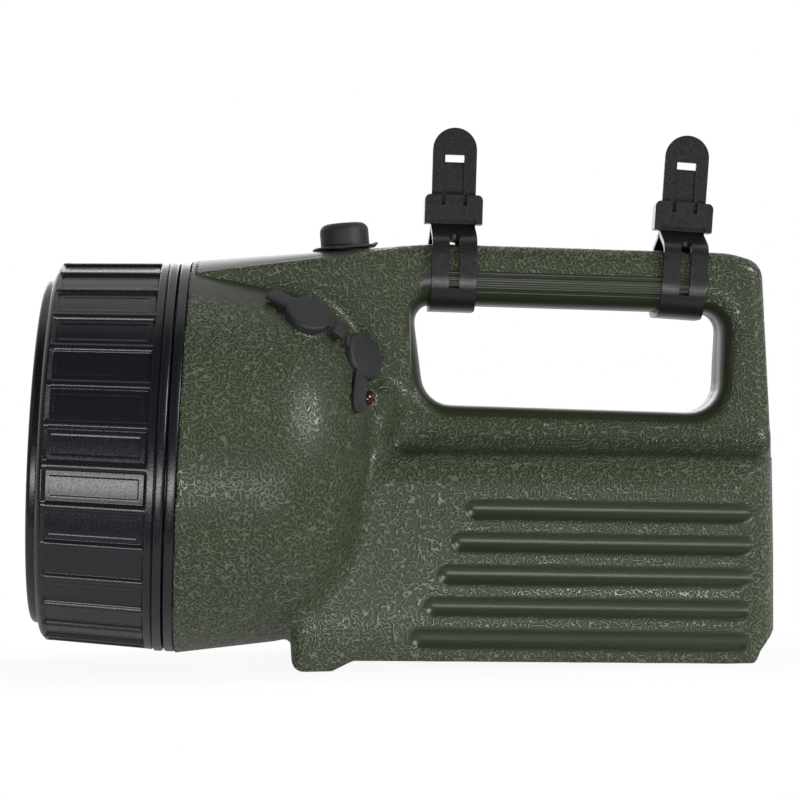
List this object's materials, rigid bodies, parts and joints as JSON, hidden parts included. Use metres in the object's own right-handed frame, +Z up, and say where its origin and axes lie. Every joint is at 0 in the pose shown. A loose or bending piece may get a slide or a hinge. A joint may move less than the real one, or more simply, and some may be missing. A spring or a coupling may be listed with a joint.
{
  "type": "rechargeable flashlight",
  "caption": "Rechargeable hand searchlight with a ribbed screw-on bezel, closed handle, push button, capped sockets and ladder straps.",
  "frame": {"origin": "on the floor under the middle of the length, midway between the sides", "axes": "+X to the rear along the handle, lens at -X; +Y to the right side; +Z up, standing on its foot and heel"},
  "size_m": [0.245, 0.13, 0.1779],
  "materials": {
    "olive_plastic": "moulded leather grain",
    "black_plastic": "satin",
    "black_rubber": "matte",
    "strap_plastic": "satin",
    "clear_lens": "clear",
    "gasket_rubber": "matte",
    "mirror_coat": "bright aluminised",
    "inner_plastic": "matte",
    "pale_plastic": "matte",
    "brass": "plain",
    "bulb_glass": "clear",
    "steel": "zinc plated",
    "red_lamp": "translucent red",
    "battery_case": "matte",
    "battery_core": "matte",
    "foam": "soft",
    "board_green": "lacquered",
    "wire": "satin"
  },
  "bodies": {
    "casing": {"left_shell": "olive_plastic", "right_shell": "olive_plastic", "shell_screws": "steel", "head_collar": "black_plastic", "reflector": "mirror_coat", "bulb_holder": "inner_plastic", "bulb_contact": "brass", "bulb_base": "brass", "bulb_glass": "bulb_glass", "boot_flange": "black_rubber", "switch_body": "inner_plastic", "switch_terminals": "brass", "charge_socket": "inner_plastic", "aux_socket": "inner_plastic", "cap_link": "black_rubber", "charge_lamp": "red_lamp", "battery": "battery_case", "battery_cells": "battery_core", "battery_terminals": "steel", "battery_pads": "foam", "charge_board": "board_green", "board_parts": "inner_plastic", "battery_lead": "wire", "lamp_lead": "wire", "switch_lead": "wire"},
    "lens_stack": {"lens": "clear_lens", "lens_gasket": "gasket_rubber"},
    "bezel_ring": {"bezel": "black_plastic"},
    "button": {"switch_button": "black_rubber", "switch_plunger": "pale_plastic"},
    "charge_flap": {"charge_cap": "black_rubber"},
    "aux_flap": {"aux_cap": "black_rubber"},
    "front_loop": {"front_strap": "strap_plastic"},
    "front_keeper": {"front_buckle": "strap_plastic"},
    "rear_loop": {"rear_strap": "strap_plastic"},
    "rear_keeper": {"rear_buckle": "strap_plastic"}
  },
  "joints": [
    {"name": "lens_slide", "type": "slide", "parent": "casing", "child": "lens_stack", "axis": [-0.998, 0, 0.0628], "range_m": [0, 0.008]},
    {"name": "bezel_turn", "type": "hinge", "parent": "lens_stack", "child": "bezel_ring", "pos_m": [-0.07188, 0, 0.0698], "axis": [-0.998, 0, 0.0628], "range_deg": [0, 720]},
    {"name": "button_press", "type": "slide", "parent": "casing", "child": "button", "axis": [0.0656, 0, -0.9978], "range_m": [0, 0.003], "stiffness_N_per_m": 600, "springref_m": -0.002},
    {"name": "charge_cap_hinge", "type": "hinge", "parent": "casing", "child": "charge_flap", "pos_m": [-0.02152, -0.0359, 0.11227], "axis": [0.1428, 0.7526, 0.6428], "range_deg": [0, 100]},
    {"name": "aux_cap_hinge", "type": "hinge", "parent": "casing", "child": "aux_flap", "pos_m": [-0.01825, -0.03364, 0.1081], "axis": [-0.2483, -0.6468, -0.7211], "range_deg": [0, 100]},
    {"name": "front_strap_slide", "type": "slide", "parent": "casing", "child": "front_loop", "axis": [0.999, 0, -0.0454], "range_m": [0, 0.025]},
    {"name": "front_buckle_slide", "type": "slide", "parent": "front_loop", "child": "front_keeper", "axis": [0.0454, 0, 0.999], "range_m": [0, 0.01]},
    {"name": "rear_strap_slide", "type": "slide", "parent": "casing", "child": "rear_loop", "axis": [0.999, 0, -0.0454], "range_m": [-0.025, 0]},
    {"name": "rear_buckle_slide", "type": "slide", "parent": "rear_loop", "child": "rear_keeper", "axis": [0.0889, 0, 0.996], "range_m": [0, 0.01]}
  ],
  "couplings": [
    {"joint": "lens_slide", "follows": "bezel_turn", "m_per_rad": 0.00063662}
  ]
}
